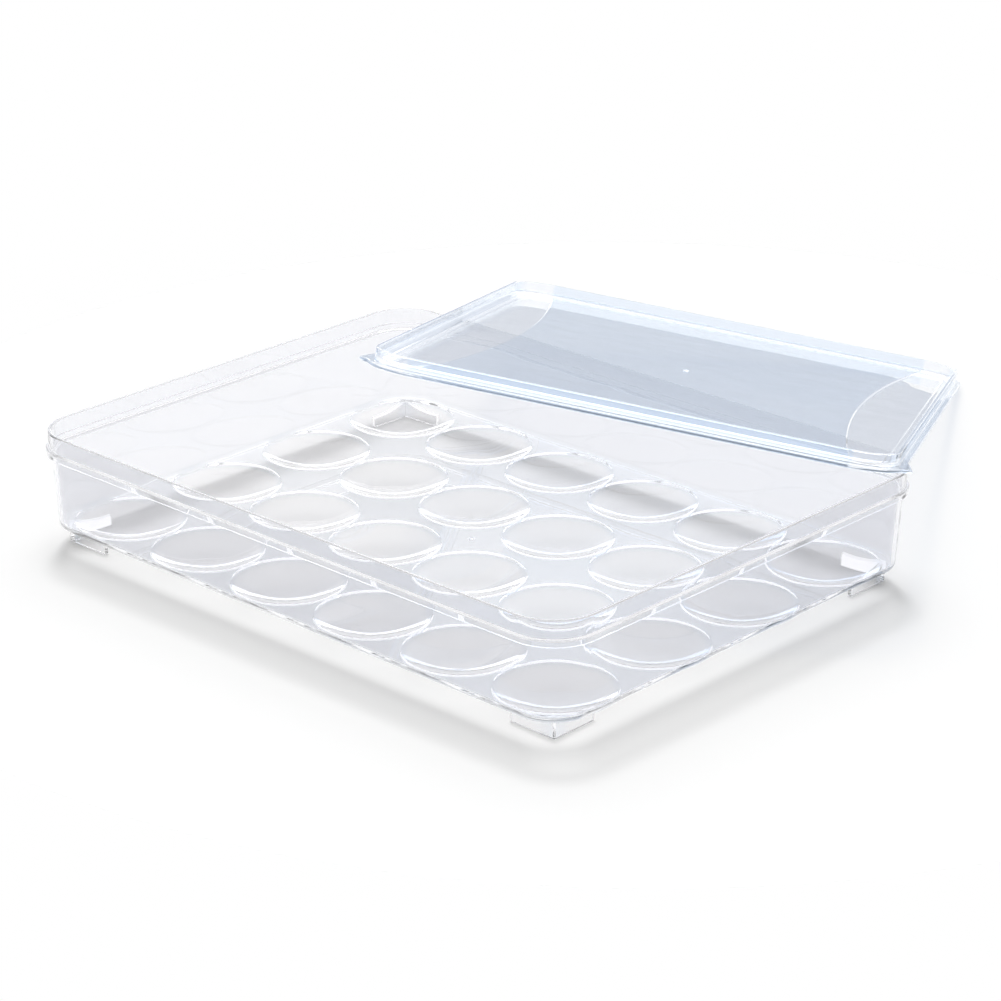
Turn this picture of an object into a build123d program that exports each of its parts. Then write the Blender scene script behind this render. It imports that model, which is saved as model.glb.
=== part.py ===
from build123d import *
import os
from math import asin, atan2, cos, degrees, radians, sin

# A clear egg keeper: a shallow tray with rows of saucer-shaped egg cups, and a loose lid.
# The lid is shown taken off and turned over. It lies across the tray's back rim, with one
# corner on the table. All lengths are in millimetres and the table is at Z = 0.

# --- Driving dimensions: the egg cups ---
COLUMNS = 6
ROWS = 4
PITCH_X = 54.0
PITCH_Y = 60.2
CUP_MOUTH_R = 25.6
CUP_FLOOR_R = 14.0
CUP_DEPTH = 6.5

# --- Driving dimensions: the tray ---
END_LAND = 0.8          # flat deck between the end cups and the end walls
SIDE_LAND = 3.5         # flat deck between the outer rows and the long walls
DECK_T = 2.0
WALL_T = 1.8
WALL_H = 36.4           # from the top of the deck to the ledge under the rim
WALL_LEAN = 2.2         # how far the walls lean outwards over their height
CORNER_R = 17.0         # inside corner at the deck
LEDGE_W = 1.2           # ledge inside the rim, above the walls
RIM_H = 10.0            # from the ledge to the top of the rim
RIM_BEVEL = 0.6
BEAD_W = 1.2            # bead round the foot of the rim
BEAD_H = 3.6

# --- Driving dimensions: the feet ---
FOOT_H = 9.0
FOOT_T = 2.0
FOOT_LEG = 25.0
FOOT_INSET = 8.6        # from the outside of the walls to the outside of a foot

# --- Driving dimensions: the lid ---
PANEL_T = 1.8
BRIM_PROUD = 0.4        # the panel's edge stands this far past the rim's outer face
SKIRT_GAP = 0.8         # play between the skirt and the inside of the rim
SKIRT_T = 1.8
SKIRT_H = 6.2
SKIRT_ROOT_R = 3.0      # fillet between the skirt and the panel
LID_BEVEL = 0.6
PAD_DEPTH = 0.7         # the two sunk pads along the panel's long sides
PAD_LENGTH = 300.0
PAD_END_W = 15.0
PAD_MIDDLE_W = 28.0
PAD_LAND = 5.0          # from the skirt to a pad
PAD_CORNER_R = 6.0
LUG_REACH = 3.6         # how far the two pointed lugs stick out past the long sides
LUG_FROM_END = 19.0     # from the panel's short end to the point of a lug
LUG_TAIL = 17.0         # from a lug's point along the side, where it dies into the panel
LUG_NOSE = 3.0          # from a lug's point back to the panel on its other side

# --- Driving dimensions: where the loose lid lies ---
LID_TURN = 29.5         # degrees about the upright axis
LID_SHIFT_X = -5.0      # the lid's middle from the tray's middle
LID_BEYOND_RIM = 34.8   # the lid's middle past the back rim, measured down its slope
REST_PLAY = 0.02        # between the lid and what it lies on

# --- Heights and outlines that follow ---
DECK_TOP = FOOT_H + DECK_T
LEDGE_TOP = DECK_TOP + WALL_H
TRAY_TOP = LEDGE_TOP + RIM_H
INNER_X = (COLUMNS - 1) / 2 * PITCH_X + CUP_MOUTH_R + END_LAND
INNER_Y = (ROWS - 1) / 2 * PITCH_Y + CUP_MOUTH_R + SIDE_LAND
RIM_INSIDE = WALL_LEAN + LEDGE_W
RIM_OUTSIDE = RIM_INSIDE + WALL_T
SKIRT_OUTSIDE = RIM_INSIDE - SKIRT_GAP
PANEL_EDGE = RIM_OUTSIDE + BRIM_PROUD
CUP_SLOPE = atan2(CUP_DEPTH, CUP_MOUTH_R - CUP_FLOOR_R)
SAME_HEIGHT = 0.001     # edges closer in height than this lie in one plane


def outline(offset):
    """The tray's inside outline at the deck, moved outwards by offset."""
    return RectangleRounded(2 * (INNER_X + offset), 2 * (INNER_Y + offset), CORNER_R + offset)


def upright(offset, bottom, top):
    """A straight block on the offset outline."""
    return extrude(Pos(0, 0, bottom) * outline(offset), amount=top - bottom)


def leaning(offset, bottom, top):
    """A block whose sides lean out with the walls, its offset taken at the deck's underside."""
    lean = WALL_LEAN / (LEDGE_TOP - WALL_T - FOOT_H)
    low = Pos(0, 0, bottom) * outline(offset + lean * (bottom - FOOT_H))
    high = Pos(0, 0, top) * outline(offset + lean * (top - FOOT_H))
    return loft([low, high], ruled=True)


def edges_at(solid, height):
    """The solid's edges that lie flat at one height."""
    flat = [edge for edge in solid.edges() if edge.bounding_box().size.Z < SAME_HEIGHT]
    return [edge for edge in flat if abs(edge.center().Z - height) < SAME_HEIGHT]


def tray_wall():
    bottom, top = FOOT_H, LEDGE_TOP - WALL_T
    return leaning(WALL_T, bottom, top) - leaning(0, bottom, top)


def tray_rim():
    foot = LEDGE_TOP - WALL_T
    body = upright(RIM_OUTSIDE, foot, TRAY_TOP) + upright(RIM_OUTSIDE + BEAD_W, foot, foot + BEAD_H)
    body -= upright(WALL_LEAN, foot, LEDGE_TOP)
    body -= upright(RIM_INSIDE, LEDGE_TOP, TRAY_TOP)
    return chamfer(edges_at(body, TRAY_TOP), RIM_BEVEL)


def cup_hollow():
    """The inside of one egg cup, mouth up, with its mouth at Z = 0."""
    return Pos(0, 0, -CUP_DEPTH / 2) * Cone(CUP_FLOOR_R, CUP_MOUTH_R, CUP_DEPTH)


def cup_underside():
    """One egg cup's outside below the deck, one deck thickness from its inside."""
    grow = DECK_T / sin(CUP_SLOPE)
    slope_run = cos(CUP_SLOPE) / sin(CUP_SLOPE)
    top_r = CUP_MOUTH_R + grow - DECK_T * slope_run
    bottom_r = CUP_MOUTH_R + grow - (CUP_DEPTH + DECK_T) * slope_run
    return Pos(0, 0, -DECK_T - CUP_DEPTH / 2) * Cone(bottom_r, top_r, CUP_DEPTH)


def cup_row(row):
    """One row of egg cups with its strip of deck. Row 0 is at the front."""
    middle = (row - (ROWS - 1) / 2) * PITCH_Y
    front = middle - PITCH_Y / 2 if row > 0 else -INNER_Y - WALL_T
    back = middle + PITCH_Y / 2 if row < ROWS - 1 else INNER_Y + WALL_T
    strip = Pos(0, (front + back) / 2, FOOT_H) * Box(
        2 * (INNER_X + WALL_T), back - front, DECK_T, align=(Align.CENTER, Align.CENTER, Align.MIN))
    body = strip & leaning(0, FOOT_H, DECK_TOP)
    spots = Pos(0, middle, DECK_TOP) * GridLocations(PITCH_X, 0, COLUMNS, 1)
    body += [spot * cup_underside() for spot in spots]
    body -= [spot * cup_hollow() for spot in spots]
    return body


def foot(side_x, side_y):
    """An L-shaped foot under one corner, cut where the corner cup hangs lower than the deck."""
    corner_x = INNER_X + WALL_T - FOOT_INSET
    corner_y = INNER_Y + WALL_T - FOOT_INSET
    along_x = Box(FOOT_LEG, FOOT_T, FOOT_H, align=(Align.MAX, Align.MAX, Align.MIN))
    along_y = Box(FOOT_T, FOOT_LEG, FOOT_H, align=(Align.MAX, Align.MAX, Align.MIN))
    body = Pos(corner_x, corner_y, 0) * (along_x + along_y)
    cup_x = (COLUMNS - 1) / 2 * PITCH_X
    cup_y = (ROWS - 1) / 2 * PITCH_Y
    body -= Pos(cup_x, cup_y, DECK_TOP) * cup_underside()
    if side_x < 0:
        body = mirror(body, Plane.YZ)
    if side_y < 0:
        body = mirror(body, Plane.XZ)
    return body


def lid_pad():
    """The outline of the pad along the lid's right-hand long side: a shallow D."""
    outer = INNER_Y + SKIRT_OUTSIDE - SKIRT_T - PAD_LAND
    inner_end = outer - PAD_END_W
    half = PAD_LENGTH / 2
    bow = ThreePointArc((inner_end, -half), (outer - PAD_MIDDLE_W, 0), (inner_end, half))
    sides = Polyline((inner_end, half), (outer, half), (outer, -half), (inner_end, -half))
    face = make_face([bow, sides])
    return fillet(face.vertices(), PAD_CORNER_R)


def lid_lug():
    """The outline of the pointed lug on the lid's right-hand long side, near one end."""
    side = INNER_Y + PANEL_EDGE
    point_y = LUG_FROM_END - INNER_X - PANEL_EDGE
    rim = Polyline((side, point_y + LUG_TAIL), (side + LUG_REACH, point_y), (side, point_y - LUG_NOSE),
                   (side - SKIRT_T, point_y - LUG_NOSE), (side - SKIRT_T, point_y + LUG_TAIL), close=True)
    return make_face(rim)


def lid():
    """The lid lying flat, inside up: its long sides run along Y, its outer face is at Z = 0."""
    turned = Rot(Z=90)
    top = PANEL_T + SKIRT_H
    hollow = upright(SKIRT_OUTSIDE - SKIRT_T, PANEL_T, top)
    hollow = fillet(edges_at(hollow, PANEL_T), SKIRT_ROOT_R)
    body = upright(PANEL_EDGE, 0, PANEL_T) + upright(SKIRT_OUTSIDE, PANEL_T, top) - hollow
    body = turned * chamfer(edges_at(body, top), LID_BEVEL)
    pad = extrude(Pos(0, 0, PANEL_T - PAD_DEPTH) * lid_pad(), amount=PAD_DEPTH)
    lug = extrude(lid_lug(), amount=PANEL_T)
    body -= [pad, mirror(pad, Plane.YZ)]
    body += [lug, mirror(lug, Plane.YZ)]
    return body


def lid_place():
    """Where the loose lid lies: on the back rim, with its lowest corner on the table."""
    turn = radians(LID_TURN)
    panel_corner_r = CORNER_R + PANEL_EDGE
    reach = ((INNER_Y + PANEL_EDGE - panel_corner_r) * sin(turn)
             + (INNER_X + PANEL_EDGE - panel_corner_r) * cos(turn) + panel_corner_r)
    slope = asin(TRAY_TOP / (LID_BEYOND_RIM + reach))
    y = INNER_Y + RIM_OUTSIDE + LID_BEYOND_RIM * cos(slope)
    z = TRAY_TOP - LID_BEYOND_RIM * sin(slope) + REST_PLAY
    return Pos(LID_SHIFT_X, y, z) * Rot(X=-degrees(slope)) * Rot(Z=LID_TURN)


def build():
    parts = {"tray_wall": tray_wall(), "tray_rim": tray_rim()}
    for row in range(ROWS):
        parts[f"cup_row_{row + 1}"] = cup_row(row)
    for y_name, side_y in (("front", -1), ("back", 1)):
        for x_name, side_x in (("left", -1), ("right", 1)):
            parts[f"foot_{y_name}_{x_name}"] = foot(side_x, side_y)
    parts["lid"] = lid_place() * lid()
    box = Compound(list(parts.values())).bounding_box()
    centred = Pos(-box.center().X, -box.center().Y, 0)
    return {name: centred * part for name, part in parts.items()}


os.makedirs("parts", exist_ok=True)
for name, part in build().items():
    export_step(part, f"parts/{name}.step")
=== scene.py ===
from math import asin, atan2, copysign, cos, hypot, inf, pi, radians, sin, sqrt, tan

import bmesh
import bpy
from mathutils import Matrix, Vector


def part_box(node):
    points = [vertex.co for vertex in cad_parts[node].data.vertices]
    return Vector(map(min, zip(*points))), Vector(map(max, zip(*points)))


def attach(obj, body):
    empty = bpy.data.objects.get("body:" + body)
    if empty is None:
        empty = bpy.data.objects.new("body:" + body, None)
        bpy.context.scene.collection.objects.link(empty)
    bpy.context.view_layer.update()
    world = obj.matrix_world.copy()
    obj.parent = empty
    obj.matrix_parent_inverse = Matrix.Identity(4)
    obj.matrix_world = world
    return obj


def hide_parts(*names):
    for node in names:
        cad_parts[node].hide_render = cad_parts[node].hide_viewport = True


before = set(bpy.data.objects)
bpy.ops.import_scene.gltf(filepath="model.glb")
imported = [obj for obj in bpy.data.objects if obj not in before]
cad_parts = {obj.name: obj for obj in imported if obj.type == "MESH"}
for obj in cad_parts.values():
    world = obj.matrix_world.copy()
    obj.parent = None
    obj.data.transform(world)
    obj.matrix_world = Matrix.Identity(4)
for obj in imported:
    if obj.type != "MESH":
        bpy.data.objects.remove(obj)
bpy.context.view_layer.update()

# A clear egg keeper: the tray, and the tinted lid that lies upside down across its back rim.
# Everything is in metres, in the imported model's own frame, with the table at Z = 0.

MM = 0.001

# --- What the frame says ---
RIM_LOW, RIM_HIGH = (Vector(corner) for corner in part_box("tray_rim"))
WALL_LOW, WALL_HIGH = (Vector(corner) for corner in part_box("tray_wall"))
DECK_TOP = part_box("cup_row_1")[1][2]
CENTRE_X = (RIM_LOW.x + RIM_HIGH.x) / 2
CENTRE_Y = (RIM_LOW.y + RIM_HIGH.y) / 2
TRAY_TOP = RIM_HIGH.z
RIM_FOOT = RIM_LOW.z
DECK_UNDER = WALL_LOW.z

# --- Tray: offsets are from the inside of the wall at the deck, outwards ---
COLUMNS = 6
ROWS = 4
PITCH_X = 54.0 * MM
PITCH_Y = 60.2 * MM
WALL_T = 1.8 * MM
WALL_LEAN = 2.2 * MM            # how far the walls lean out over their height
CORNER_R = 17.0 * MM            # inside corner at the deck
LEDGE_TOP = RIM_FOOT + WALL_T
LEDGE_W = 1.2 * MM              # ledge inside the rim
RIM_INSIDE = WALL_LEAN + LEDGE_W
RIM_OUTSIDE = RIM_INSIDE + WALL_T
BEAD_W = 1.2 * MM
BEAD_H = 3.6 * MM
EDGE_R = 0.7 * MM               # rounding of the rim's top edges
BEAD_R = 0.5 * MM
CREASE_R = 0.4 * MM             # rounding inside a crease
DECK_ROUND = 1.5 * MM           # fillet between the deck and the wall
DECK_ARC_R = 0.98 * DECK_ROUND  # a little less, so that the arc starts past the deck's edge
BASE_ROUND = 2.6 * MM           # rounding of the tray's outside bottom edge
DIP_FADE = 2 * DECK_ROUND       # height over which a cup's dip at the wall dies out
UNDER_DIP = 0.5                 # share of the dip that the rounded bottom edge follows
INNER_X = (WALL_HIGH.x - WALL_LOW.x) / 2 - WALL_T - WALL_LEAN
INNER_Y = (WALL_HIGH.y - WALL_LOW.y) / 2 - WALL_T - WALL_LEAN
ARC_STEPS = 3

# --- Egg cups ---
CUP_LIP_R = 26.2 * MM
CUP_FLOOR_R = 14.2 * MM
CUP_DEPTH = 5.8 * MM
LIP_ROUND = 2.4 * MM
FLOOR_ROUND = 49.0 * MM
ROUND_STEPS = 7
QUADRANT_STEPS = 10             # directions from a cup's middle to its cell's corner, and on to its side

# --- Feet ---
FOOT_T = 2.0 * MM
FOOT_LEG = 25.0 * MM
FOOT_INSET = 8.6 * MM
FOOT_STEPS = 14                 # along each leg, for its top to follow the cup above
FOOT_NEAREST = 1.2 * FOOT_T     # from the foot's corner to the nearest of those steps
FOOT_SEAM = 0.05 * MM           # keeps a foot's top clear of the deck above it
FOOT_BEVEL = 0.3 * MM
BEVEL_SEGMENTS = 2
BEVEL_ANGLE = radians(40)

# --- Lid, lying flat with its inside up: u along its long sides, v across ---
PANEL_T = 1.8 * MM
BRIM_PROUD = 0.4 * MM           # how far the panel's edge stands past the rim's outer face
PANEL_EDGE = RIM_OUTSIDE + BRIM_PROUD
SKIRT_GAP = 0.8 * MM            # play between the skirt and the inside of the rim
SKIRT_OUTSIDE = RIM_INSIDE - SKIRT_GAP
SKIRT_T = 1.8 * MM
SKIRT_INSIDE = SKIRT_OUTSIDE - SKIRT_T
SKIRT_H = 6.2 * MM
SKIRT_ROOT_R = 3.0 * MM
SKIN_MARGIN = 0.4 * MM          # from the end of the panel's flat skin to the skirt's fillet
LID_INSET = SKIRT_INSIDE - SKIRT_ROOT_R - SKIN_MARGIN
LID_EDGE_R = 0.6 * MM
LID_ARC_STEPS = 4
LID_SIDE_ROWS = 12              # rows of the mesh along half a long side, and round a corner
LID_CORNER_ROWS = 10
LID_ROW_GAP = 0.1 * MM          # rows nearer than this are one
PAD_DEPTH = 0.7 * MM
PAD_LENGTH = 300.0 * MM
PAD_END_W = 15.0 * MM
PAD_MIDDLE_W = 28.0 * MM
PAD_LAND = 5.0 * MM             # from the skirt to a pad
PAD_OUTER = INNER_Y + SKIRT_INSIDE - PAD_LAND
PAD_STEP = 1.0 * MM             # width of the sloping edge of a pad
PAD_STEP_ROWS = [PAD_STEP * share for share in (-0.5, -0.17, 0.17, 0.5)]
LUG_REACH = 3.6 * MM
LUG_FROM_END = 19.0 * MM
LUG_TAIL = 17.0 * MM
LUG_NOSE = 3.0 * MM
LID_TURN = radians(29.5)
LID_SHIFT_X = -5.0 * MM
LID_BEYOND_RIM = 34.8 * MM
REST_PLAY = 0.004 * MM

# --- Gate marks, and joining vertices ---
GATE_R = 1.7 * MM
GATE_H = 0.5 * MM
GATE_SIDES = 32
GATE_PROFILE = ((1, 0), (1, 0.1), (0.92, 0.45), (0.7, 0.8), (0.4, 1), (0.15, 0.9))   # as shares of both
GATE_SEAM = 0.02 * MM
MERGE = 0.002 * MM              # vertices nearer than this are one

# --- Finish ---
PLASTIC_IOR = 1.5
TRAPPED_DEPTH = 4.5             # bounces after which light led about inside the plastic leaves it
TRAPPED_LIGHT = 1.2             # how bright it then is, as on the lit edges of clear plastic
FLOW_SCALE = 9.0                # the slow drift between a plastic's two tints
FLOW_DETAIL = 2.0
FLOW_STOPS = (0.3, 0.7)
WAVE_SCALE = 38.0               # the faint waves that the mould leaves
WAVE_DETAIL = 1.0
WAVE_STRENGTH = 0.12
WAVE_HEIGHT = 0.4 * MM
TRAY_TINTS = ((0.93, 0.935, 0.962), (0.915, 0.92, 0.95))        # a tint and a deeper one
LID_TINTS = ((0.83, 0.89, 0.97), (0.81, 0.875, 0.965))
PAD_TINT = (0.93, 0.95, 0.985)  # the lid's panel is paler past the bowed edges of its pads
CUP_CELL_R = 30.0 * MM          # the distance from a cup's middle that counts as 1 in its painted tones
# Painted light and shade round each cup: the bowl a touch lighter than the deck, and a darker ring at the
# lip in place of the line that refraction draws there.
CUP_PAINTED_TONES = [(0.0, (0.962, 0.957, 0.968)), (0.78, (0.957, 0.955, 0.968)), (0.86, (0.86, 0.88, 0.92)),
             (0.92, (0.915, 0.93, 0.962)), (1.0, (0.92, 0.932, 0.962))]

# What a skin lets by into its shadow, from face on to edge on, and the rim's share of that.
TRAY_SHADES = [(0.0, (0.98, 0.98, 0.98)), (0.5, (0.92, 0.92, 0.92)), (0.8, (0.55, 0.55, 0.55)),
               (1.0, (0.3, 0.3, 0.3))]
LID_SHADES = [(0.0, (0.97, 0.973, 0.98)), (0.5, (0.94, 0.95, 0.965)), (0.75, (0.65, 0.71, 0.8)),
              (1.0, (0.2, 0.28, 0.4))]
TRAY_RIM_SHADE = 0.75

# --- Stage, light and camera ---
WHITE = (1, 1, 1, 1)
FLOOR_R = 0.4
FLOOR_SIDES = 64
FLOOR_LIT = (0.8, 0.8, 0.8, 1)  # the paper as it hands light on, and as it is seen
FLOOR_SEEN = WHITE
ROOM_LIGHT = 0.2
SOFT_BOX = radians(20)          # half the width of the soft box overhead
SOFT_BOX_EDGE = radians(32)
SOFT_BOX_LIGHT = 3.3
STRIP_LIGHT = 4.0

# The mirrored tent's dark side and the light strip low on it. Tones go by height, with 1 straight up, and
# both fade in sideways between two shares, with 1 straight away from the camera.
DARK_SIDE_TONES = [(0.0, (0.42, 0.47, 0.57)), (0.38, (0.54, 0.57, 0.64)), (0.75, (0.8, 0.82, 0.86)),
                   (1.0, (1, 1, 1))]
DARK_SIDE_FADE = (0.2, 0.6)
STRIP_TONES = [(0.05, (0, 0, 0)), (0.08, (1, 1, 1)), (0.18, (1, 1, 1)), (0.23, (0, 0, 0))]
STRIP_FADE = (0.945, 0.965)

LAMP_STRENGTH = 1.0
LAMP_ANGLE = radians(11)
LAMP_EL = radians(60.5)
LAMP_AZ = radians(48.4)         # the lamp stands on the far side from this camera azimuth
CAMERA_AZ = radians(43.171)
CAMERA_EL = radians(22.22)
CAMERA_DISTANCE = 1.5903
CAMERA_CLIP = (0.05, 20)
AIM_X = -22.44 * MM             # the point that the camera aims at, from the tray's middle
AIM_Y = 43.56 * MM
SENSOR = 36.0
LENS = 119.686


# ---------------------------------------------------------------- mesh helpers

def rounded_path(corners, steps=ARC_STEPS):
    """A path through corners (x, y, radius), with an arc in place of each corner that has a radius."""
    path = []
    for i, (x, y, radius) in enumerate(corners):
        here = Vector((x, y))
        if i in (0, len(corners) - 1) or radius == 0:
            path.append(here)
            continue
        back = (Vector(corners[i - 1][:2]) - here).normalized()
        ahead = (Vector(corners[i + 1][:2]) - here).normalized()
        half = back.angle(ahead) / 2
        centre = here + (back + ahead).normalized() * (radius / sin(half))
        first = here + back * (radius / tan(half)) - centre
        last = here + ahead * (radius / tan(half)) - centre
        sweep = pi - 2 * half
        for k in range(steps + 1):
            share = k / steps
            turned = (first * sin((1 - share) * sweep) + last * sin(share * sweep)) / sin(sweep)
            path.append(centre + turned)
    return path


def outline_frame(point, half_x, half_y, offset):
    """For a point on the outline at an offset: the corner centre that it turns about, and its normal."""
    x, y = point
    over_x = abs(x) - (half_x - CORNER_R)
    over_y = abs(y) - (half_y - CORNER_R)
    if over_x > 0 and over_y > 0:
        normal = Vector((over_x, over_y)).normalized()
    elif abs(half_x + offset - abs(x)) < abs(half_y + offset - abs(y)):
        normal = Vector((1, 0))
    else:
        normal = Vector((0, 1))
    normal = Vector((normal.x if x > 0 else -normal.x, normal.y if y > 0 else -normal.y))
    return Vector((x, y)) - normal * (CORNER_R + offset), normal


def boundary_loops(bm):
    """Each open edge loop of a mesh, as a list of its vertices in order."""
    loops = []
    seen = set()
    for first in bm.edges:
        if not first.is_boundary or first in seen:
            continue
        loop, edge, vert = [first.verts[0]], first, first.verts[1]
        seen.add(first)
        while vert is not loop[0]:
            loop.append(vert)
            edge = next(e for e in vert.link_edges if e.is_boundary and e is not edge)
            seen.add(edge)
            vert = edge.other_vert(vert)
        loops.append(loop)
    return loops


def level_ring(bm, radius, height, sides):
    """A level ring of vertices about the Z axis."""
    turns = [2 * pi * k / sides for k in range(sides)]
    return [bm.verts.new((radius * cos(turn), radius * sin(turn), height)) for turn in turns]


def bridge(bm, low, high):
    """Quads between two closed rings with as many vertices each."""
    for i in range(len(low)):
        j = (i + 1) % len(low)
        bm.faces.new((low[i], low[j], high[j], high[i]))


def add_closed_tube(bm, rings):
    """Quads from each ring to the next, with a face over both ends."""
    for low, high in zip(rings, rings[1:]):
        bridge(bm, low, high)
    bm.faces.new(rings[0])
    bm.faces.new(rings[-1])


def close_shell(bm, rings):
    """Joins the upper of two open skins to the lower one, round their edges, through rings.

    Each ring is a function from a vertex of the upper edge and the one below it to a place.
    """
    bmesh.ops.remove_doubles(bm, verts=bm.verts, dist=MERGE)
    upper, lower = sorted(boundary_loops(bm), key=lambda loop: -sum(v.co.z for v in loop) / len(loop))
    below = {(round(v.co.x / MERGE), round(v.co.y / MERGE)): v for v in lower}
    keys = [(round(v.co.x / MERGE), round(v.co.y / MERGE)) for v in upper]
    bottom = [nearest(below, key) for key in keys]
    previous = upper
    for place in rings:
        ring = [bm.verts.new(place(top, low)) for top, low in zip(upper, bottom)]
        bridge(bm, previous, ring)
        previous = ring
    bridge(bm, previous, bottom)


def nearest(table, key):
    """The entry at a rounded place, or at one beside it."""
    for dx in (0, -1, 1):
        for dy in (0, -1, 1):
            if (key[0] + dx, key[1] + dy) in table:
                return table[key[0] + dx, key[1] + dy]
    raise KeyError(key)


def add_object(name, bm, material):
    """A new object from a bmesh, which is used up."""
    bmesh.ops.recalc_face_normals(bm, faces=bm.faces)
    mesh = bpy.data.meshes.new(name)
    bm.to_mesh(mesh)
    bm.free()
    mesh.materials.append(material)
    thing = bpy.data.objects.new(name, mesh)
    bpy.context.collection.objects.link(thing)
    return thing


def finish_piece(name, bm, material, body, nodes=(), place=Matrix.Identity(4), bevel=0):
    """A smooth closed piece from a bmesh, set in the frame and joined to what it stands for."""
    bm.transform(place)
    piece = add_object(name, bm, material)
    for polygon in piece.data.polygons:
        polygon.use_smooth = True
    if bevel:
        rounding = piece.modifiers.new("rounding", "BEVEL")
        rounding.width = bevel
        rounding.segments = BEVEL_SEGMENTS
        rounding.angle_limit = BEVEL_ANGLE
    weighted = piece.modifiers.new("even_shading", "WEIGHTED_NORMAL")
    weighted.keep_sharp = True
    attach(piece, body)
    if nodes:
        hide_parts(*nodes)


# ---------------------------------------------------------------- tray

def cup_profile(thickness):
    """A cup's radius and height from its middle out, moved down by a thickness square to its surface."""
    slope = atan2(CUP_DEPTH, CUP_LIP_R - CUP_FLOOR_R)
    turns = [slope * k / ROUND_STEPS for k in range(ROUND_STEPS + 1)]
    floor_end = CUP_FLOOR_R - FLOOR_ROUND * tan(slope / 2)
    lip_end = CUP_LIP_R + LIP_ROUND * tan(slope / 2)
    surface = [(0.5 * floor_end, -CUP_DEPTH, 0)]
    for turn in turns:
        height = FLOOR_ROUND * (1 - cos(turn)) - CUP_DEPTH
        surface.append((floor_end + FLOOR_ROUND * sin(turn), height, turn))
    for turn in reversed(turns):
        surface.append((lip_end - LIP_ROUND * sin(turn), -LIP_ROUND * (1 - cos(turn)), turn))
    return [(radius + thickness * sin(turn), DECK_TOP + height - thickness * cos(turn))
            for radius, height, turn in surface]


def height_at(profile, radius):
    """The height of a cup's profile at one radius."""
    before = profile[0]
    for point in profile:
        if point[0] >= radius:
            share = (radius - before[0]) / (point[0] - before[0]) if point[0] > before[0] else 0
            return before[1] + share * (point[1] - before[1])
        before = point
    return profile[-1][1]


def cell_reach(angle, half_x, half_y, corner_r):
    """How far a cup's cell reaches from its middle in one direction of a quadrant."""
    c, s = cos(angle), sin(angle)
    reach = min(half_x / c if c > MERGE else inf, half_y / s if s > MERGE else inf)
    mid_x, mid_y = half_x - corner_r, half_y - corner_r
    if corner_r and reach * c > mid_x and reach * s > mid_y:
        along = mid_x * c + mid_y * s
        reach = along + sqrt(corner_r ** 2 - (mid_x ** 2 + mid_y ** 2 - along ** 2))
    return reach


def cell_directions(column, row):
    """Directions from a cup's middle round its cell, each with the distance to the cell's edge."""
    x = (column - (COLUMNS - 1) / 2) * PITCH_X
    y = (row - (ROWS - 1) / 2) * PITCH_Y
    directions = []
    for side_x, side_y, falling in ((1, 1, False), (-1, 1, True), (-1, -1, False), (1, -1, True)):
        end_x = column == (COLUMNS - 1 if side_x > 0 else 0)
        end_y = row == (ROWS - 1 if side_y > 0 else 0)
        half_x = INNER_X - DECK_ROUND - abs(x) if end_x else PITCH_X / 2
        half_y = INNER_Y - DECK_ROUND - abs(y) if end_y else PITCH_Y / 2
        corner_r = CORNER_R - DECK_ROUND if end_x and end_y else 0
        turn = atan2(half_y, half_x)
        angles = [turn * k / QUADRANT_STEPS for k in range(QUADRANT_STEPS)]
        angles += [turn + (pi / 2 - turn) * k / QUADRANT_STEPS for k in range(QUADRANT_STEPS + 1)]
        for angle in (reversed(angles[1:]) if falling else angles[:-1]):
            reach = cell_reach(angle, half_x, half_y, corner_r)
            directions.append((side_x * cos(angle), side_y * sin(angle), reach))
    return Vector((x, y)), directions


def add_deck_skin(bm, profile):
    """One skin of the deck with all its cups, whose cells meet edge to edge."""
    for column in range(COLUMNS):
        for row in range(ROWS):
            middle, directions = cell_directions(column, row)
            centre = bm.verts.new((middle.x, middle.y, profile[0][1]))
            previous = None
            for radius in [point[0] for point in profile] + [inf]:
                ring = []
                for dx, dy, reach in directions:
                    out = min(radius, reach)
                    height = height_at(profile, out)
                    ring.append(bm.verts.new((middle.x + dx * out, middle.y + dy * out, height)))
                if previous is None:
                    for i in range(len(ring)):
                        bm.faces.new((centre, ring[i], ring[(i + 1) % len(ring)]))
                else:
                    bridge(bm, previous, ring)
                previous = ring


def tray_section():
    """The wall's section as offsets and heights, from the deck's edge over the rim and round below."""
    bead_top = RIM_FOOT + BEAD_H
    return rounded_path([
        (-DECK_ROUND, DECK_TOP, 0),
        (0, DECK_TOP, DECK_ARC_R),
        (WALL_LEAN, LEDGE_TOP, BEAD_R),
        (RIM_INSIDE, LEDGE_TOP, CREASE_R),
        (RIM_INSIDE, TRAY_TOP, EDGE_R),
        (RIM_OUTSIDE, TRAY_TOP, EDGE_R),
        (RIM_OUTSIDE, bead_top, CREASE_R),
        (RIM_OUTSIDE + BEAD_W, bead_top, BEAD_R),
        (RIM_OUTSIDE + BEAD_W, RIM_FOOT, BEAD_R),
        (WALL_T + WALL_LEAN, RIM_FOOT, CREASE_R),
        (WALL_T, DECK_UNDER, BASE_ROUND),
        (-DECK_ROUND, DECK_UNDER, 0)])[1:-1]


def tray_section_place(offset, height):
    """Where one point of the section comes, for a vertex of the deck's edge and the one below it."""
    def place(top, low):
        centre, normal = outline_frame(top.co.xy, INNER_X, INNER_Y, -DECK_ROUND)
        spot = centre + normal * (CORNER_R + offset)
        dip = 0
        if offset < WALL_T / 2:
            near_deck = max(0, 1 - abs(height - DECK_TOP) / DIP_FADE)
            dip += (top.co.z - DECK_TOP) * near_deck
        if offset < WALL_T and height < DECK_TOP - DECK_ROUND:
            near_under = max(0, 1 - abs(height - DECK_UNDER) / BASE_ROUND)
            dip += (low.co.z - DECK_UNDER) * near_under * UNDER_DIP
        return (spot.x, spot.y, height + dip)
    return place


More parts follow.
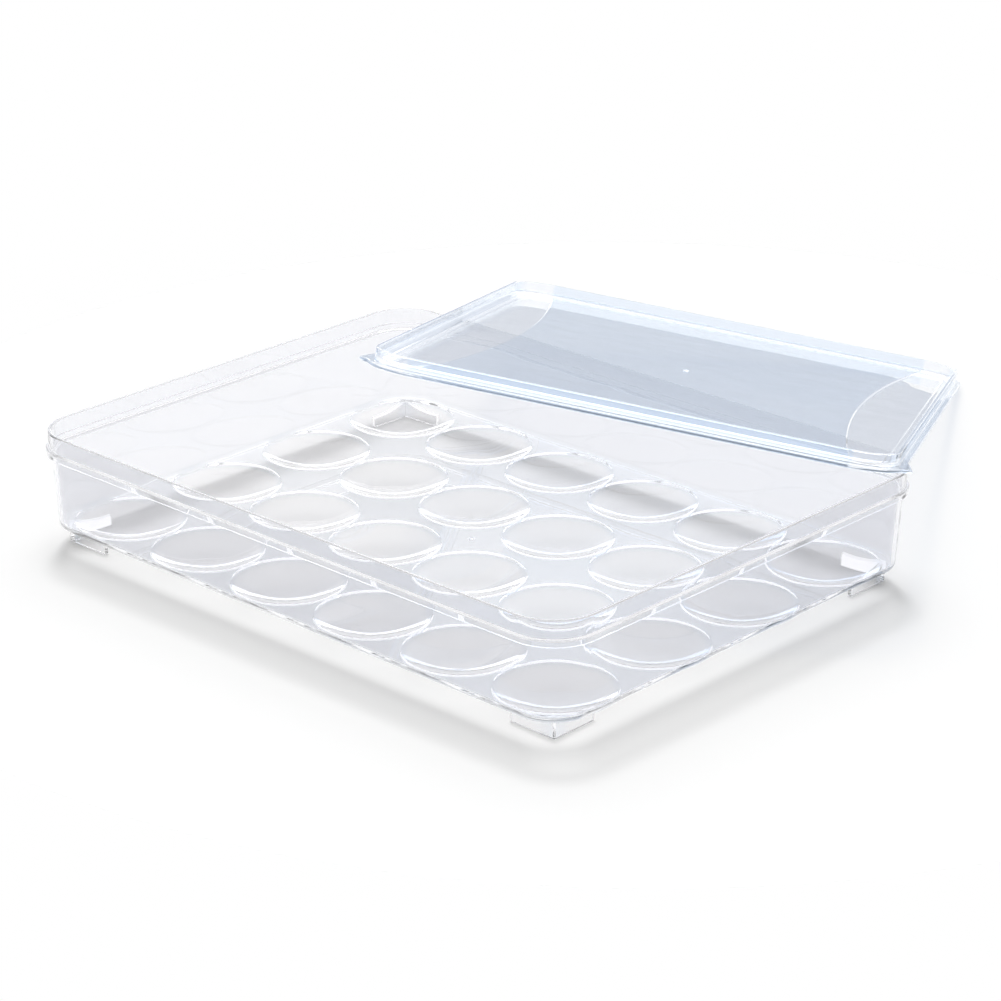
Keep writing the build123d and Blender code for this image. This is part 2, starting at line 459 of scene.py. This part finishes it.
def make_tray(material):
    """The deck with its cups, the wall, the ledge and the rim, as the one moulding that they are."""
    bm = bmesh.new()
    add_deck_skin(bm, cup_profile(0))
    add_deck_skin(bm, cup_profile(DECK_TOP - DECK_UNDER))
    close_shell(bm, [tray_section_place(*point) for point in tray_section()])
    nodes = ["tray_wall", "tray_rim"] + [f"cup_row_{row + 1}" for row in range(ROWS)]
    finish_piece("tray_moulding", bm, material, "tray", nodes,
                 Matrix.Translation((CENTRE_X, CENTRE_Y, 0)))


# ---------------------------------------------------------------- feet and gate marks

def make_foot(side_x, side_y, name, node, material):
    """An L-shaped foot under one corner, its top following the underside of the deck and its cup."""
    outside = cup_profile(DECK_TOP - DECK_UNDER)
    cup_x = (COLUMNS - 1) / 2 * PITCH_X
    cup_y = (ROWS - 1) / 2 * PITCH_Y
    corner_x = INNER_X + WALL_T - FOOT_INSET
    corner_y = INNER_Y + WALL_T - FOOT_INSET
    steps = [FOOT_LEG + (FOOT_NEAREST - FOOT_LEG) * k / FOOT_STEPS for k in range(FOOT_STEPS + 1)]
    pairs = [((corner_x - s, corner_y), (corner_x - s, corner_y - FOOT_T)) for s in steps]
    pairs += [((corner_x, corner_y), (corner_x - FOOT_T, corner_y - FOOT_T))]
    pairs += [((corner_x, corner_y - s), (corner_x - FOOT_T, corner_y - s)) for s in reversed(steps)]
    bm = bmesh.new()
    sections = []
    for pair in pairs:
        section = [(x, y, 0) for x, y in pair]
        for x, y in reversed(pair):
            section.append((x, y, height_at(outside, hypot(x - cup_x, y - cup_y)) - FOOT_SEAM))
        sections.append([bm.verts.new((x * side_x, y * side_y, z)) for x, y, z in section])
    add_closed_tube(bm, sections)
    finish_piece(name, bm, material, "tray", [node],
                 Matrix.Translation((CENTRE_X, CENTRE_Y, 0)), bevel=FOOT_BEVEL)


def make_gate_mark(name, material, body, place):
    """The small round mark that the mould's gate leaves in the middle of a moulding."""
    bm = bmesh.new()
    rings = [level_ring(bm, GATE_R * out, GATE_H * up, GATE_SIDES) for out, up in GATE_PROFILE]
    add_closed_tube(bm, rings)
    finish_piece(name, bm, material, body, place=place)


# ---------------------------------------------------------------- lid

def smooth_step(share):
    """A share that sets off and arrives gently."""
    share = min(1, max(0, share))
    return share * share * (3 - 2 * share)


def pad_arc():
    """The radius of a pad's bowed inner edge, and how far its centre lies from the lid's middle line."""
    bow = PAD_MIDDLE_W - PAD_END_W
    radius = ((PAD_LENGTH / 2) ** 2 + bow ** 2) / (2 * bow)
    return radius, PAD_OUTER - PAD_MIDDLE_W + radius


def pad_inner_edge(u):
    """How far from the lid's middle line a pad's bowed inner edge runs, at a place along the lid."""
    radius, middle = pad_arc()
    return middle - sqrt(radius ** 2 - u ** 2)


def lid_rows(inset):
    """Places along the lid where its mesh has a row."""
    straight = INNER_X - CORNER_R
    corner_r = CORNER_R + inset
    half = [straight * k / LID_SIDE_ROWS for k in range(LID_SIDE_ROWS + 1)]
    turns = [pi / 2 * (k + 1) / LID_CORNER_ROWS for k in range(LID_CORNER_ROWS)]
    half += [straight + corner_r * sin(turn) for turn in turns]
    half += [PAD_LENGTH / 2 + step for step in PAD_STEP_ROWS]
    tip = INNER_X + PANEL_EDGE - LUG_FROM_END
    spread = corner_r / (CORNER_R + PANEL_EDGE)
    half += [tip - LUG_TAIL] + [straight + (place - straight) * spread for place in (tip, tip + LUG_NOSE)]
    rows = []
    for place in sorted(half):
        if not rows or place - rows[-1] > LID_ROW_GAP:
            rows.append(place)
    return [-place for place in reversed(rows[1:])] + rows


def pad_sink(u, v):
    """How far the panel's inside is sunk at a place, by the pad there if there is one."""
    along = 1 - smooth_step((abs(u) - PAD_LENGTH / 2) / PAD_STEP + 0.5)
    inner = pad_inner_edge(min(abs(u), PAD_LENGTH / 2))
    past_inner = smooth_step((v - inner) / PAD_STEP + 0.5)
    past_outer = smooth_step((v - PAD_OUTER) / PAD_STEP + 0.5)
    return PAD_DEPTH * past_inner * (1 - past_outer) * along


def add_panel_skin(bm, inset, height, pads):
    """One skin of the lid's panel inside an outline, with its two sunk pads or flat."""
    corner_r = CORNER_R + inset
    grid = []
    for u in lid_rows(inset):
        over = abs(u) - (INNER_X - CORNER_R)
        half_v = INNER_Y + inset
        if over > 0:
            half_v += sqrt(max(0, corner_r ** 2 - over ** 2)) - corner_r
        inner = pad_inner_edge(min(abs(u), PAD_LENGTH / 2))
        edges = [inner * k / 3 for k in range(3)] + [inner + step for step in PAD_STEP_ROWS]
        edges += [(inner + PAD_OUTER) / 2] + [PAD_OUTER + step for step in PAD_STEP_ROWS] + [inf]
        row = []
        for edge in edges:
            v = min(edge, half_v)
            row.append((v, height - pad_sink(u, v) if pads and v < half_v else height))
        mirrored = [(-v, z) for v, z in reversed(row[1:])]
        grid.append([bm.verts.new((v, u, z)) for v, z in mirrored + row])
    for low, high in zip(grid, grid[1:]):
        for i in range(len(low) - 1):
            bm.faces.new((low[i], low[i + 1], high[i + 1], high[i]))


def lid_section():
    """The skirt and the brim as offsets and heights, from the panel's inside round to its outer face."""
    top = PANEL_T + SKIRT_H
    return rounded_path([
        (LID_INSET, PANEL_T, 0),
        (SKIRT_INSIDE, PANEL_T, SKIRT_ROOT_R),
        (SKIRT_INSIDE, top, LID_EDGE_R),
        (SKIRT_OUTSIDE, top, LID_EDGE_R),
        (SKIRT_OUTSIDE, PANEL_T, CREASE_R),
        (PANEL_EDGE, PANEL_T, LID_EDGE_R),
        (PANEL_EDGE, 0, LID_EDGE_R),
        (LID_INSET, 0, 0)], LID_ARC_STEPS)[1:-1]


def lug_share(u):
    """How far out a lug's outline stands at a place along the lid, as a share of its reach."""
    tip = LUG_FROM_END - INNER_X - PANEL_EDGE
    if u > tip:
        return max(0, 1 - (u - tip) / LUG_TAIL)
    return max(0, 1 - (tip - u) / LUG_NOSE)


def lid_section_place(offset, height):
    """Where one point of the lid's section comes, for a vertex of the panel's edge."""
    def place(top, _):
        centre, normal = outline_frame(top.co.xy, INNER_Y, INNER_X, LID_INSET)
        spot = centre + normal * (CORNER_R + offset)
        share = lug_share(spot.y)
        if offset > PANEL_EDGE - LID_EDGE_R - MERGE and share > 0:
            spot.x = copysign(max(abs(spot.x), INNER_Y + offset + LUG_REACH * share), spot.x)
        return (spot.x, spot.y, height)
    return place


def lid_pose():
    """Where the lid lies: across the tray's back rim, with its lowest corner on the table."""
    corner_r = CORNER_R + PANEL_EDGE
    reach = ((INNER_Y + PANEL_EDGE - corner_r) * sin(LID_TURN)
             + (INNER_X + PANEL_EDGE - corner_r) * cos(LID_TURN) + corner_r)
    slope = asin(TRAY_TOP / (LID_BEYOND_RIM + reach))
    y = CENTRE_Y + INNER_Y + RIM_OUTSIDE + LID_BEYOND_RIM * cos(slope)
    z = TRAY_TOP - LID_BEYOND_RIM * sin(slope) + REST_PLAY
    return (Matrix.Translation((CENTRE_X + LID_SHIFT_X, y, z)) @ Matrix.Rotation(-slope, 4, "X")
            @ Matrix.Rotation(LID_TURN, 4, "Z"))


def make_lid(material):
    """The panel with its pads, the skirt, the brim and the two lugs."""
    bm = bmesh.new()
    add_panel_skin(bm, LID_INSET, PANEL_T, True)
    add_panel_skin(bm, LID_INSET, 0, False)
    close_shell(bm, [lid_section_place(*point) for point in lid_section()])
    finish_piece("lid_moulding", bm, material, "lid", ["lid"], lid_pose())


# ---------------------------------------------------------------- node trees

class NodeTree:
    """The emptied node tree of a material or world, with short ways to add nodes and join them."""

    def __init__(self, owner):
        owner.use_nodes = True
        self.nodes, self.links = owner.node_tree.nodes, owner.node_tree.links
        self.nodes.clear()

    def add(self, kind, inputs=None, **settings):
        """A node with its settings. Each input is a value, or another node's output to link to it."""
        node = self.nodes.new(kind)
        for key, value in settings.items():
            setattr(node, key, value)
        for key, value in (inputs or {}).items():
            if isinstance(value, bpy.types.NodeSocket):
                self.links.new(value, node.inputs[key])
            else:
                node.inputs[key].default_value = value
        return node

    def math(self, operation, *values):
        return self.add("ShaderNodeMath", dict(enumerate(values)), operation=operation).outputs["Value"]

    def vector_math(self, operation, *values):
        node = self.add("ShaderNodeVectorMath", dict(enumerate(values)), operation=operation)
        return node.outputs["Value" if operation in ("LENGTH", "DOT_PRODUCT") else "Vector"]

    def highest(self, first, *others):
        """The highest of some values."""
        for value in others:
            first = self.math("MAXIMUM", first, value)
        return first

    def map_range(self, value, from_min, from_max, to_min=0.0, to_max=1.0, kind="LINEAR"):
        """A value carried over from one range to another."""
        inputs = {"Value": value, "From Min": from_min, "From Max": from_max,
                  "To Min": to_min, "To Max": to_max}
        return self.add("ShaderNodeMapRange", inputs, interpolation_type=kind).outputs["Result"]

    def height(self, place):
        """The Z of a place or direction."""
        return self.add("ShaderNodeSeparateXYZ", {"Vector": place}).outputs["Z"]

    def noise(self, place, scale, detail):
        inputs = {"Vector": place, "Scale": scale, "Detail": detail}
        return self.add("ShaderNodeTexNoise", inputs).outputs["Fac"]

    def ramp(self, value, stops):
        """A colour for a value, between (value, colour) stops."""
        node = self.add("ShaderNodeValToRGB", {"Fac": value})
        elements = node.color_ramp.elements
        while len(elements) < len(stops):
            elements.new(0.5)
        for element, (place, colour) in zip(elements, stops):
            element.position = place
            element.color = (*colour, 1)
        return node.outputs["Color"]

    def mix_colour(self, share, first, second):
        node = self.add("ShaderNodeMix", {"Factor": share, "A": first, "B": second}, data_type="RGBA")
        return node.outputs["Result"]

    def mix_shader(self, share, first, second):
        return self.add("ShaderNodeMixShader", {0: share, 1: first, 2: second}).outputs["Shader"]

    def background(self, colour, strength=1.0):
        node = self.add("ShaderNodeBackground", {"Color": colour, "Strength": strength})
        return node.outputs["Background"]

    def rays(self):
        """What is known of the ray at hand, by name."""
        return self.add("ShaderNodeLightPath").outputs

    def trapped(self, rays):
        """1 for rays that have been led about for long inside the plastic."""
        return self.math("GREATER_THAN", rays["Ray Depth"], TRAPPED_DEPTH)

    def unspread(self, rays, value):
        """A value, kept only for rays that haven't met a matt surface."""
        return self.math("MULTIPLY", value, self.math("LESS_THAN", rays["Diffuse Depth"], 0.5))


# ---------------------------------------------------------------- materials

def pad_tint(tree, place):
    """The lid's paler tint, and its share: 1 on the panel past the pads' bowed edges, otherwise 0."""
    arc_r, arc_middle = pad_arc()
    into_lid = lid_pose().inverted()
    flat = tree.add("ShaderNodeMapping", {"Vector": place, "Location": into_lid.translation,
                                          "Rotation": into_lid.to_euler()}, vector_type="POINT")
    lid_place = tree.add("ShaderNodeSeparateXYZ", {"Vector": flat.outputs["Vector"]}).outputs
    across = tree.math("ABSOLUTE", lid_place["X"])
    from_arc = tree.add("ShaderNodeCombineXYZ", {"X": tree.math("SUBTRACT", across, arc_middle),
                                                 "Y": lid_place["Y"]}).outputs["Vector"]
    reach = tree.vector_math("LENGTH", from_arc)
    in_arc = tree.map_range(reach, arc_r - PAD_STEP / 2, arc_r + PAD_STEP / 2, 1.0, 0.0)
    on_panel = tree.map_range(across, INNER_Y + LID_INSET, INNER_Y + SKIRT_INSIDE, 1.0, 0.0)
    return (*PAD_TINT, 1), tree.math("MULTIPLY", in_arc, on_panel)


def cup_painted_shading(tree, place):
    """The deck's painted light and shade by how far a place is from its cup's middle, and its share: 1 on
    the deck only.

    A corner of four cups' cells lies at the tray's middle, because there are even columns and rows.
    """
    cells = tree.add("ShaderNodeMapping", {"Vector": place, "Scale": (1 / PITCH_X, 1 / PITCH_Y, 0),
                                           "Location": (-CENTRE_X / PITCH_X, -CENTRE_Y / PITCH_Y, 0)},
                     vector_type="POINT")
    cell = tree.vector_math("FRACTION", cells.outputs["Vector"])
    middle = tree.vector_math("SUBTRACT", cell, (0.5, 0.5, 0))
    real = tree.vector_math("MULTIPLY", middle, (PITCH_X / CUP_CELL_R, PITCH_Y / CUP_CELL_R, 0))
    # Painted shade: a darker ring at each lip, in place of the refraction line; painted light: the bowls
    # a touch lighter.
    colour = tree.ramp(tree.vector_math("LENGTH", real), CUP_PAINTED_TONES)
    fillet_middle, fillet_top = DECK_TOP + DECK_ROUND / 2, DECK_TOP + DECK_ROUND
    return colour, tree.map_range(tree.height(place), fillet_middle, fillet_top, 1.0, 0.0)


def clear_plastic(name, tints, local_tint_and_painted_shade, shades, rim_shade=1.0):
    """Clear moulded styrene: glass-like, faintly wavy from the mould, and light in its shadow."""
    material = bpy.data.materials.new(name)
    tree = NodeTree(material)
    place = tree.add("ShaderNodeTexCoord").outputs["Object"]
    drift = tree.ramp(tree.noise(place, FLOW_SCALE, FLOW_DETAIL), list(zip(FLOW_STOPS, tints)))
    # A local colour: on the lid the panel's paler tint past its pads, on the tray painted light and shade
    # round each cup.
    local_colour_and_painted_shade, local_share_of_tint_and_shade = local_tint_and_painted_shade(tree, place)
    bump = tree.add("ShaderNodeBump", {"Strength": WAVE_STRENGTH, "Distance": WAVE_HEIGHT,
                                       "Height": tree.noise(place, WAVE_SCALE, WAVE_DETAIL)})
    plastic = tree.add("ShaderNodeBsdfPrincipled", {
        "Base Color": tree.mix_colour(local_share_of_tint_and_shade, drift, local_colour_and_painted_shade), "Transmission Weight": 1.0,
        "IOR": PLASTIC_IOR, "Roughness": 0.0, "Normal": bump.outputs["Normal"]})

    shade = tree.ramp(tree.add("ShaderNodeLayerWeight", {"Blend": 0.5}).outputs["Facing"], shades)
    rim = tree.map_range(tree.height(place), RIM_FOOT, RIM_FOOT + BEAD_W, 1.0, rim_shade)
    passing = tree.add("ShaderNodeVectorMath", {0: shade, "Scale": rim}, operation="SCALE")
    clear = tree.add("ShaderNodeBsdfTransparent", {"Color": passing.outputs["Vector"]})
    rays = tree.rays()
    straight = tree.highest(rays["Is Shadow Ray"], rays["Is Diffuse Ray"], tree.trapped(rays))
    surface = tree.mix_shader(straight, plastic.outputs["BSDF"], clear.outputs["BSDF"])
    tree.add("ShaderNodeOutputMaterial", {"Surface": surface})
    return material


def floor_material():
    """White paper that the camera sees as plain white where nothing shades it."""
    material = bpy.data.materials.new("white_floor")
    tree = NodeTree(material)
    rays = tree.rays()
    seen = tree.highest(rays["Is Camera Ray"], rays["Is Glossy Ray"], rays["Is Transmission Ray"])
    colour = tree.mix_colour(tree.unspread(rays, seen), FLOOR_LIT, FLOOR_SEEN)
    paper = tree.add("ShaderNodeBsdfDiffuse", {"Color": colour})
    glow = tree.add("ShaderNodeEmission", {"Color": WHITE, "Strength": TRAPPED_LIGHT})
    surface = tree.mix_shader(tree.unspread(rays, tree.trapped(rays)), paper.outputs["BSDF"],
                              glow.outputs["Emission"])
    tree.add("ShaderNodeOutputMaterial", {"Surface": surface})
    return material


# ---------------------------------------------------------------- stage, light and camera

def make_floor():
    """A disc of white paper, small so that the lid mirrors the tent beyond it."""
    bm = bmesh.new()
    inner, outer = (level_ring(bm, radius, 0, FLOOR_SIDES) for radius in (FLOOR_R / 2, FLOOR_R))
    bm.faces.new(inner)
    bridge(bm, inner, outer)
    add_object("floor", bm, floor_material())


def lamp_direction():
    """The direction from the object to the lamp and to the middle of the soft box."""
    return Vector((-sin(LAMP_AZ) * cos(LAMP_EL), cos(LAMP_AZ) * cos(LAMP_EL), sin(LAMP_EL)))


def make_world():
    """What lights the object, what its plastic mirrors, and the plain white that is seen past it."""
    world = bpy.data.worlds.new("studio")
    bpy.context.scene.world = world
    tree = NodeTree(world)
    rays = tree.rays()
    around = tree.add("ShaderNodeTexCoord").outputs["Generated"]
    height = tree.height(around)
    away = tree.vector_math("DOT_PRODUCT", around, (-sin(CAMERA_AZ), cos(CAMERA_AZ), 0))

    # A dim room with a soft box overhead gives the light.
    to_lamp = tree.vector_math("DOT_PRODUCT", around, lamp_direction())
    strength = tree.map_range(to_lamp, cos(SOFT_BOX_EDGE), cos(SOFT_BOX), ROOM_LIGHT, SOFT_BOX_LIGHT,
                              "SMOOTHSTEP")
    lighting = tree.background(WHITE, strength)

    # The plastic mirrors a white tent, which is darker low on the side away from the camera.
    dark_share = tree.map_range(away, *DARK_SIDE_FADE, kind="SMOOTHSTEP")
    tent = tree.background(tree.mix_colour(dark_share, WHITE, tree.ramp(height, DARK_SIDE_TONES)))
    glossy = tree.unspread(rays, rays["Is Glossy Ray"])
    world_shader = tree.mix_shader(glossy, lighting, tent)

    # The camera sees plain white, and light trapped for long in the plastic leaves it brighter.
    direct = tree.unspread(rays, tree.highest(rays["Is Camera Ray"], rays["Is Transmission Ray"]))
    world_shader = tree.mix_shader(direct, world_shader, tree.background(WHITE))
    trapped = tree.unspread(rays, tree.trapped(rays))
    world_shader = tree.mix_shader(trapped, world_shader, tree.background(WHITE, TRAPPED_LIGHT))

    # A light strip low on the dark side, which only mirrored rays meet, draws the crescents in the cups.
    ends = tree.map_range(away, *STRIP_FADE, kind="SMOOTHSTEP")
    strip = tree.math("MULTIPLY", tree.ramp(height, STRIP_TONES), ends)
    strip = tree.math("MULTIPLY", tree.math("MULTIPLY", strip, glossy), STRIP_LIGHT)
    whole = tree.add("ShaderNodeAddShader", {0: world_shader, 1: tree.background(WHITE, strip)})
    tree.add("ShaderNodeOutputWorld", {"Surface": whole.outputs["Shader"]})


def make_lamp():
    """A soft lamp high above and a little behind the object, seen from the camera."""
    light = bpy.data.lights.new("soft_lamp", "SUN")
    light.energy = LAMP_STRENGTH
    light.angle = LAMP_ANGLE
    lamp = bpy.data.objects.new("soft_lamp", light)
    bpy.context.collection.objects.link(lamp)
    lamp.visible_glossy = False
    lamp.visible_transmission = False
    lamp.rotation_euler = lamp_direction().to_track_quat("Z", "Y").to_euler()


def make_camera():
    """The camera of the photograph, fitted to the cups, the rim and the lid's corners."""
    data = bpy.data.cameras.new("camera")
    data.sensor_fit = "HORIZONTAL"
    data.sensor_width = SENSOR
    data.lens = LENS
    data.clip_start, data.clip_end = CAMERA_CLIP
    camera = bpy.data.objects.new("camera", data)
    bpy.context.collection.objects.link(camera)
    back = Vector((sin(CAMERA_AZ) * cos(CAMERA_EL), -cos(CAMERA_AZ) * cos(CAMERA_EL), sin(CAMERA_EL)))
    aim = Vector((CENTRE_X + AIM_X, CENTRE_Y + AIM_Y, DECK_TOP))
    camera.location = aim + back * CAMERA_DISTANCE
    camera.rotation_euler = back.to_track_quat("Z", "Y").to_euler()
    bpy.context.scene.camera = camera


def main():
    bpy.context.scene.view_settings.view_transform = "Standard"
    # The tray's plastic carries painted light and shade round its cups.
    tray_plastic = clear_plastic("clear_styrene", TRAY_TINTS, cup_painted_shading, TRAY_SHADES, TRAY_RIM_SHADE)
    lid_plastic = clear_plastic("tinted_styrene", LID_TINTS, pad_tint, LID_SHADES)
    make_tray(tray_plastic)
    for y_name, side_y in (("front", -1), ("back", 1)):
        for x_name, side_x in (("left", -1), ("right", 1)):
            make_foot(side_x, side_y, f"{y_name}_{x_name}_foot", f"foot_{y_name}_{x_name}", tray_plastic)
    make_lid(lid_plastic)
    make_gate_mark("tray_gate_mark", tray_plastic, "tray",
                   Matrix.Translation((CENTRE_X, CENTRE_Y, DECK_TOP + GATE_SEAM)))
    make_gate_mark("lid_gate_mark", lid_plastic, "lid",
                   lid_pose() @ Matrix.Translation((0, 0, PANEL_T + GATE_SEAM)))
    make_floor()
    make_world()
    make_lamp()
    make_camera()


main()
